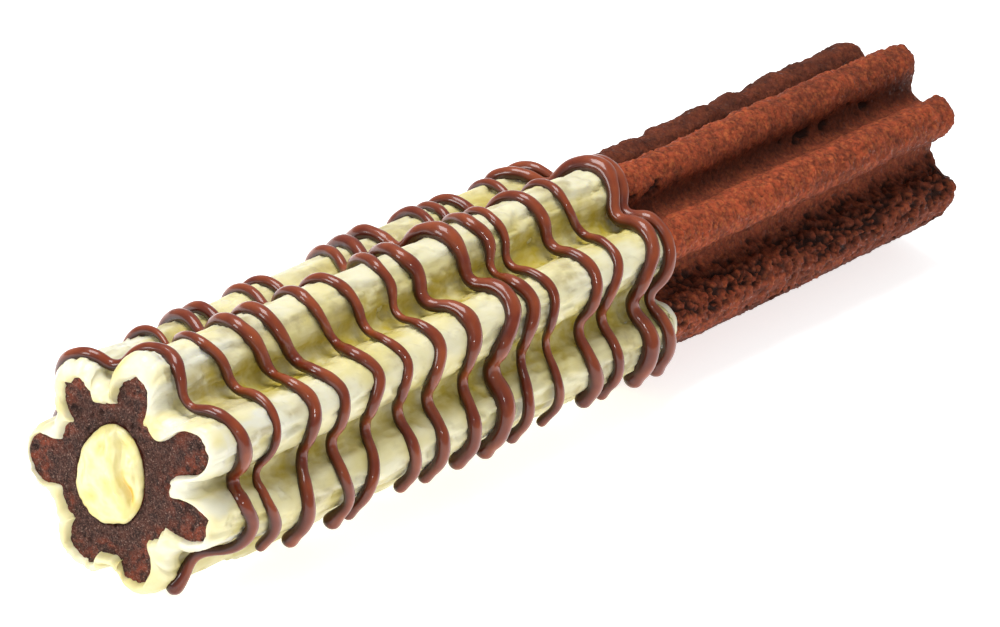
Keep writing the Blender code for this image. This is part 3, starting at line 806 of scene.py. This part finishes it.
def icing_lip(outer, crest, places):
    """The icing's front rows: from the lip's edge on the cut face, over the lip's crest, to the outer row."""
    cut = star(DOUGH_REACH, DOUGH_TIP_ROUND, DOUGH_VALLEY_ROUND, ICING_PER_RIB)
    face = wrap(np.zeros(1), *cut)[0]
    middle = np.array([0, 0, AXIS_Z])
    spoke = (face - middle)[:, 1:]
    length = np.linalg.norm(spoke, axis=1)
    ragged = 0.6 * fractal(face, 1.8, 131) + 0.3 * bumps(face, 0.7, 133)
    lip = face.copy()
    reach = np.minimum(lip_edge(places, length) + ragged, length - 0.15)
    lip[:, 1:] = middle[1:] + spoke / length[:, None] * reach[:, None]
    rows = []
    thick = LIP_THICKNESS * (0.7 + 0.5 * (1 - crest) + 0.4 * bumps(outer, 4, 135))
    thick = thick * (1 - 0.6 * band(places, 5, 0.3))
    for share in np.linspace(0, 1, LIP_ROWS + 1)[:-1]:
        if share < LIP_TURN:
            turn = share / LIP_TURN * math.pi / 2
            across = LIP_CREST * (1 - math.cos(turn))
            x = CUT_X + LIP_DEPTH - (thick + LIP_DEPTH) * math.sin(turn)
        else:
            turn = (share - LIP_TURN) / (1 - LIP_TURN) * math.pi / 2
            across = LIP_CREST + (1 - LIP_CREST) * math.sin(turn)
            x = outer[:, 0] - (thick + ICING_START) * math.cos(turn)
        ring = lip * (1 - across) + outer * across
        ring[:, 0] = x
        rows.append(ring)
    rim = np.stack(rows)
    relief = 0.55 * fractal(rim, 2.6, 137) + 0.12 * bumps(rim, 0.9, 139)
    relief = relief * (1 + 0.9 * band(places, 6.2, 0.4))
    rim[1:, :, 0] -= relief[1:] * np.linspace(1, 0, len(rim) - 1)[:, None] ** 0.5
    return rim


def icing_end(body, places, inside):
    """The rows that close the far rim, which is torn in waves. The body's last rows move with it."""
    far = body[-1]
    wave = FAR_RIM_WAVE * fractal(far, 9, 141) + 0.8 * bumps(far, 1.8, 143)
    wave = wave + 2.2 * band(places, 1.75, 0.3)
    ends = []
    for turn in np.linspace(0, math.pi / 2, 9)[1:]:
        ring = far * math.cos(turn) + inside * (1 - math.cos(turn))
        ring[:, 0] = far[:, 0] + (1.4 + wave) * math.sin(turn)
        ends.append(ring)
    for k in range(FAR_RIM_ROWS):
        body[-1 - k, :, 0] += 0.5 * wave * (1 - k / FAR_RIM_ROWS)
    return np.stack(ends)


def make_icing(material):
    """The coat of icing, with its lip over the cut face and its torn far rim."""
    stations = np.arange(ICING_START, ICED_LENGTH - 1, ICING_STEP)
    radii, angles, places, depths = star(ICING_REACH, ICING_TIP_ROUND, ICING_VALLEY_ROUND, ICING_PER_RIB)
    crest = np.broadcast_to(1 - depths / depths.max(), (len(stations), len(places)))
    body = wrap(stations, radii + rim_swell(places, stations[:, None]), angles, places, depths)
    normal = grid_normals(body)
    relief, dents, torn = spread(body, crest)
    for middle, height, seed in KNIFE_LEDGES:
        past = around(places, middle) + 0.12 * fractal(body, (8, 6, 6), seed)
        relief = relief + height * smooth(0.5 - past / 0.05) * np.exp(-((np.minimum(past, 0) / 0.25) ** 2))
    from_groove = (stations[:, None] - 4.6 - 0.9 * bumps(body, 4, 241)) / 0.7
    groove = np.exp(-(from_groove**2)) * band(places, 0.25, 0.4)
    relief = np.minimum(relief - 0.2, 0.3 + 0.2 * relief) - 0.45 * groove
    body = body + normal * relief[..., None]

    inner = star(DOUGH_REACH + 0.1, DOUGH_TIP_ROUND + 0.1, DOUGH_VALLEY_ROUND - 0.1, ICING_PER_RIB)
    inside, *deep = wrap(np.array(INNER_STATIONS, float), *inner)
    rim = icing_lip(body[0], crest[0], places)
    end = icing_end(body, places, inside)
    points = np.concatenate([rim, body, end, deep])
    points[..., 2] = np.maximum(points[..., 2], GROUND + 0.001)

    span = slice(len(rim), len(rim) + len(body))
    hollow_shade, pale, thin = np.zeros((3, *points.shape[:2]))
    # Painted shade, olive-yellow: in the low places between the crests and in the dents
    low = np.clip(1.12 - crest * 1.3 - 0.9 * relief, 0, 1)
    hollow_shade[span] = low * smooth((stations - 3) / 8)[:, None] + 0.5 * dents
    pale[span] = 0.8 * (1 - smooth((stations - 6) / 22))[:, None] + 0.5 * smooth((crest - 0.8) / 0.1)
    pale[: len(rim)] = 0.8
    pale[span.stop : -len(deep)] = 1
    pale *= smooth((fractal(points, (9, 4, 4), 145) + 0.25) / 0.5)
    thin[span] = np.clip(smooth((fractal(body, (12, 3.5, 3.5), 147) - 0.15) / 0.3) + 0.4 * torn, 0, 1)
    values = {"hollow_shade": np.clip(hollow_shade, 0, 1), "pale": np.clip(pale, 0, 1), "thin": thin}
    faces = grid_faces(*points.shape[:2])
    return make_piece("coat", points.reshape(-1, 3), faces, material, values)


def surface_point(place, station, lift):
    """Points that float lift above the icing, at places round the churro and stations."""
    outline = star(ICING_REACH + lift, ICING_TIP_ROUND + lift, STRAND_VALLEY_ROUND, STRAND_OUTLINE_PER_RIB)
    where = place % RIBS
    radii, angles, places, depths = [np.append(column, column[0]) for column in outline]
    angles[-1], places[-1] = 2 * math.pi, RIBS
    radius = np.interp(where, places, radii)
    angle = np.interp(where, places, angles)
    lean, reach, fill = rib_tables(station)
    number = np.floor(where).astype(int) % RIBS
    share = smooth(where - np.floor(where))
    rows = np.arange(len(where))

    def at(table):
        return table[rows, number] * (1 - share) + table[rows, (number + 1) % RIBS] * share

    radius = radius + rim_swell(where, station) + np.interp(where, places, depths) * fill[rows, number]
    radius = radius * at(reach)
    angle = angle + at(lean)
    height = axis_height(station) + radius * np.cos(angle)
    return np.stack([station + CUT_X, -radius * np.sin(angle), height], -1)


def outward(place, station, lift):
    """Directions away from the icing."""
    step = 0.02
    across = surface_point(place + step, station, lift) - surface_point(place - step, station, lift)
    normal = np.cross(across, np.array([1.0, 0, 0]))
    normal /= np.linalg.norm(normal, axis=1, keepdims=True)
    middle = surface_point(place, station, lift) - np.array([0, 0, AXIS_Z])
    middle[:, 0] = 0
    return normal * np.sign((normal * middle).sum(1).mean())


def crossing_curve(crossings, number):
    """A strand's places and stations from its -Y end over the top to the second rib on +Y."""
    knots, knot_places, end_place = crossings, CROSSINGS, STRAND_END
    if number == 0:
        knots = (FIRST_TAIL_STATION, *crossings)
        knot_places = (FIRST_TAIL_PLACE, *CROSSINGS)
        end_place = FIRST_STRAND_END
    knots, knot_places = np.array(knots), np.array(knot_places)
    places = np.linspace(end_place, CROSSINGS[-1], STRAND_POINTS)
    position = np.interp(-places, -knot_places, np.arange(len(knots)))
    low = np.clip(position.astype(int), 0, len(knots) - 2)
    share = position - low
    before = knots[np.maximum(low - 1, 0)]
    after = knots[np.minimum(low + 2, len(knots) - 1)]
    first, second = knots[low], knots[low + 1]
    bend = 2 * before - 5 * first + 4 * second - after
    twist = 3 * (first - second) + after - before
    stations = first + 0.5 * share * (second - before + share * (bend + share * twist))
    at = np.stack([places * 2.1, np.full_like(places, number * 4.3), np.zeros_like(places)], -1)
    stations = stations + 0.25 * bumps(at, 1.0, 151) * smooth(-places)
    return places, stations


def resampled(values, points):
    """Values at equal steps along points."""
    run = run_along(points)
    wanted = np.linspace(0, run[-1], int(run[-1] / STRAND_STEP))
    return np.stack([np.interp(wanted, run, column) for column in values.T], -1)


def strand_pass(numbers):
    """Places, stations and widths of one pass: up one strand and, if there are two, back down the other."""
    legs = []
    for number in numbers:
        width, crossings = STRANDS[number]
        places, stations = crossing_curve(crossings, number)
        legs.append(np.stack([places, stations, np.full_like(places, width)], -1))
    if len(legs) == 1:
        return legs[0]
    near, far = legs
    middle = (near[-1, 1] + far[-1, 1]) / 2
    shift = smooth(-near[:, 0] - 0.9)
    near[:, 1] += (middle - TURN_WIDTH / 2 - near[-1, 1]) * shift
    far[:, 1] += (middle + TURN_WIDTH / 2 - far[-1, 1]) * shift
    turn = np.linspace(0, math.pi, 14)[1:-1]
    places = CROSSINGS[-1] - TURN_OVERSHOOT * np.sin(turn)
    stations = middle - TURN_WIDTH / 2 * np.cos(turn)
    width = (near[-1, 2] + far[-1, 2]) / 2
    bend = np.stack([places, stations, np.full_like(turn, width)], -1)
    return np.concatenate([near, bend, far[::-1]])


def tail_of(point, direction, drop):
    """A free end that hangs from point: it bends from its direction to nearly straight down."""
    points = []
    for step in np.linspace(0, 1, TAIL_STEPS + 1)[1:]:
        onward = (1 - step) ** 1.5
        heading = direction * onward + np.array(TAIL_HANG) * (1 - onward)
        heading /= np.linalg.norm(heading)
        point = point + heading * drop / TAIL_STEPS
        points.append(point)
    return np.array(points)


def tube(points, normals, widths, places, seed):
    """Rings round a centre line, flattened underneath, with round ends, as points and faces."""
    tangent = np.gradient(points, axis=0)
    tangent /= np.linalg.norm(tangent, axis=1, keepdims=True)
    normal = normals - (normals * tangent).sum(1, keepdims=True) * tangent
    normal /= np.linalg.norm(normal, axis=1, keepdims=True)
    side = np.cross(tangent, normal)
    run = run_along(points)
    at = np.stack([run, np.full_like(run, seed * 31.7), np.zeros_like(run)], -1)
    swell = 1 + 0.22 * bumps(at, (6.5, 1, 1), 161) + 0.09 * bumps(at, (2.3, 1, 1), 163)
    swell = swell + 0.1 * np.cos(2 * math.pi * places)
    from_end = np.minimum(run, run[-1] - run)
    swell = swell + 0.25 * np.exp(-(((from_end - 1.2) / 1.4) ** 2))
    radius = widths / 2 * swell
    cap = np.clip(from_end / radius, 0, 1)
    radius = radius * np.sqrt(np.maximum(1 - (1 - cap) ** 2, 0.0004))
    turn = np.linspace(0, 2 * math.pi, STRAND_SIDES, endpoint=False)
    rings = (
        points[:, None]
        + radius[:, None, None] * np.sin(turn)[None, :, None] * side[:, None] * 1.06
        + radius[:, None, None] * np.cos(turn)[None, :, None] * normal[:, None] * 0.96
    )
    count = len(points)
    faces = grid_faces(count, STRAND_SIDES)
    faces.append(list(range(STRAND_SIDES))[::-1])
    faces.append([(count - 1) * STRAND_SIDES + k for k in range(STRAND_SIDES)])
    return rings.reshape(-1, 3), faces


def make_drizzle(material):
    """All strands, as closed tubes in one piece."""
    all_points, all_faces, start = [], [], 0
    for seed, group in enumerate(STRAND_GROUPS):
        track = strand_pass(group)
        lift = track[:, 2].mean() / 2 - STRAND_SINK
        points = surface_point(track[:, 0], track[:, 1], lift)
        track = resampled(track, points)
        points = surface_point(track[:, 0], track[:, 1], lift)
        normals = outward(track[:, 0], track[:, 1], lift)
        places, widths = track[:, 0], track[:, 2]
        for end in (0, -1):
            if end == 0 and group[0] == 0:
                continue
            direction = points[end] - points[1 if end == 0 else -2]
            direction /= np.linalg.norm(direction)
            drop = TAIL_SHORTEST + TAIL_SPAN * hashed(np.array([[seed, end, 3]]), 171)[0]
            tail = tail_of(points[end], direction, drop)
            more = [tail] + [np.repeat(column[[end]], len(tail), 0) for column in (normals, widths, places)]
            kept = [points, normals, widths, places]
            if end == 0:
                kept, more = [column[::-1] for column in more], kept
            points, normals, widths, places = [np.concatenate(pair) for pair in zip(kept, more)]
        kernel = np.ones(STRAND_SMOOTHING) / STRAND_SMOOTHING
        smoothed = np.stack([np.convolve(points[:, k], kernel, "valid") for k in range(3)], -1)
        margin = STRAND_SMOOTHING // 2
        points = np.concatenate([points[:margin], smoothed, points[-margin:]])
        rings, faces = tube(points, normals, widths, places, seed)
        all_points.append(rings)
        all_faces += [[index + start for index in face] for face in faces]
        start += len(rings)
    # Painted shade: 1 on top of each strand and -1 underneath, where the material paints it dark
    crown_shading = np.cos(np.linspace(0, 2 * math.pi, STRAND_SIDES, endpoint=False))
    crown_shading = np.tile(crown_shading, start // STRAND_SIDES)
    return make_piece("drizzle", np.concatenate(all_points), all_faces, material, {"crown_shading": crown_shading})


def make_cream(material):
    """The cream in the bore, with a creased dome at the cut face: one lobe laps over the other."""
    turn = np.linspace(0, 2 * math.pi, CREAM_COLUMNS, endpoint=False)
    egg = 1 - BORE_EGG * np.cos(turn)
    side = BORE_SIDE - (BORE_WIDTH - CREAM_SHRINK) * egg * np.sin(turn)
    height = AXIS_Z + (BORE_HEIGHT - CREAM_SHRINK) * np.cos(turn)
    edge = ragged_bore(turn) - np.array([BORE_SIDE, AXIS_Z])
    points = []
    for step in np.linspace(0, 1, CREAM_RINGS + 1)[1:]:
        scale = math.sin(step * math.pi / 2)
        y, z = (edge * scale).T
        dome = CREAM_DOME * max(1 - scale**2, 0) ** 0.6 * 0.9
        points.append(np.stack([CUT_X - dome + 0 * y, BORE_SIDE + y, AXIS_Z + z], -1))
    for station in (60, CREAM_END):
        points.append(np.stack([slanted(np.full_like(side, station), side), side, height], -1))
    points = np.stack(points)
    y = points[:CREAM_RINGS, :, 1]
    z = points[:CREAM_RINGS, :, 2] - AXIS_Z
    inside = 1 - (((y - BORE_SIDE) / CREAM_WIDTH) ** 2 + (z / CREAM_HEIGHT) ** 2)
    inside = smooth(inside / 0.4)

    # The crease: past is how far beyond it a point lies
    along = smooth((z + 4.5) / 3.5)
    past = CREASE_SIDE + CREASE_TILT * z + 0.2 * np.sin(z * 0.9) - y
    fold = 1.5 * smooth(past / 0.3) * np.exp(-np.clip(past, 0, 9) / 0.9) * along
    fold -= 0.7 * np.exp(-((past + 0.8) ** 2)) * along
    second = np.exp(-(((y + 3.9 - 0.25 * z) / 0.35) ** 2)) * smooth((z + 3.5) / 2) * smooth((3.5 - z) / 2)
    dimples = 1.0 * np.exp(-(((y - BORE_SIDE - 1.6) / 1.5) ** 2) - ((z + 3.6) / 1.4) ** 2)
    dimples += 0.9 * np.exp(-(((y - BORE_SIDE - 1.4) / 0.9) ** 2) - ((z - 4.6) / 1.3) ** 2)
    soft = 0.7 * fractal(points[:CREAM_RINGS], 3.2, 181)
    points[:CREAM_RINGS, :, 0] += (fold + 0.35 * second + dimples + soft) * inside
    # Painted shade, yellow-orange: deep in the crease, and less in the dimples
    deep = np.exp(-(((past - 0.7) / 0.5) ** 2)) * np.exp(-(((z + 0.6) / 2.0) ** 2))
    crease_shade = np.zeros(points.shape[:2])
    crease_shade[:CREAM_RINGS] = np.clip(deep + 0.3 * dimples, 0, 1)
    faces = grid_faces(*points.shape[:2])
    faces.append(list(range(CREAM_COLUMNS))[::-1])
    last = (len(points) - 1) * CREAM_COLUMNS
    faces.append([last + k for k in range(CREAM_COLUMNS)])
    return make_piece("cream", points.reshape(-1, 3), faces, material, {"fold": crease_shade})


def make_floor():
    """A plain pale floor that glows a little, so that shadows stay faint."""
    bpy.ops.mesh.primitive_plane_add(size=FLOOR_SIZE)
    floor = bpy.context.object
    floor.name = "floor"
    nodes = Nodes("floor")
    nodes.set(Base_Color=(0.9, 0.9, 0.9, 1), Roughness=1.0, Specular_IOR_Level=0.0)
    nodes.set(Emission_Color=(1, 1, 1, 1), Emission_Strength=FLOOR_GLOW)
    floor.data.materials.append(nodes.material)


def make_light(name, place, size, power):
    """An area light that faces the churro's middle, at a place in metres."""
    data = bpy.data.lights.new(name, "AREA")
    data.shape = "RECTANGLE"
    data.size, data.size_y = size
    data.energy = power
    lamp = bpy.data.objects.new(name, data)
    lamp.location = place
    lamp.rotation_mode = "QUATERNION"
    lamp.rotation_quaternion = Vector(place).to_track_quat("Z", "Y")
    bpy.context.scene.collection.objects.link(lamp)


def make_lights():
    """Soft studio light from all round, and three lamps."""
    world = bpy.data.worlds.new("world")
    bpy.context.scene.world = world
    world.use_nodes = True
    background = world.node_tree.nodes["Background"]
    background.inputs["Color"].default_value = (1, 1, 1, 1)
    background.inputs["Strength"].default_value = WORLD_GLOW
    make_light("top", (-0.1, 0.25, 1.1), (0.7, 0.5), 11)
    make_light("left", (-1.0, 0.35, 0.55), (0.4, 0.4), 5)
    make_light("front", (-0.9, -0.9, 0.7), (0.1, 0.1), 2)


def make_camera():
    """A camera that sees the churro as the photograph does."""
    azimuth = math.radians(CAMERA_AZIMUTH_DEG)
    elevation = math.radians(CAMERA_ELEVATION_DEG)
    roll = math.radians(CAMERA_ROLL_DEG)
    flat = math.cos(elevation)
    back = Vector((math.sin(azimuth) * flat, -math.cos(azimuth) * flat, math.sin(elevation)))
    level = Vector((math.cos(azimuth), math.sin(azimuth), 0))
    rise = back.cross(level)
    right = level * math.cos(roll) + rise * math.sin(roll)
    up = back.cross(right)
    data = bpy.data.cameras.new("camera")
    data.sensor_width = SENSOR
    data.lens = FOCAL_PIXELS / FRAME_PIXELS * SENSOR
    data.clip_start, data.clip_end = 0.05, 20
    camera = bpy.data.objects.new("camera", data)
    matrix = Matrix((right, up, back)).transposed().to_4x4()
    matrix.translation = Vector((CUT_X + CAMERA_STATION, CAMERA_SIDE, AXIS_Z + CAMERA_RISE)) * MM
    camera.matrix_world = matrix
    bpy.context.scene.collection.objects.link(camera)
    bpy.context.scene.camera = camera


def main():
    """Builds the scene: five pieces that stand for the solids, the floor, the lights and the camera."""
    make_camera()
    make_lights()
    make_floor()
    crust = make_crust(dough_material())
    crumb = make_crumb(crumb_material())
    coat = make_icing(icing_material())
    drizzle = make_drizzle(drizzle_material())
    cream = make_cream(cream_material())
    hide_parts("dough")
    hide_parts("dough")
    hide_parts("icing")
    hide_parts("icing")
    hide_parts("filling")
    bpy.context.scene.view_settings.view_transform = "Standard"


main()
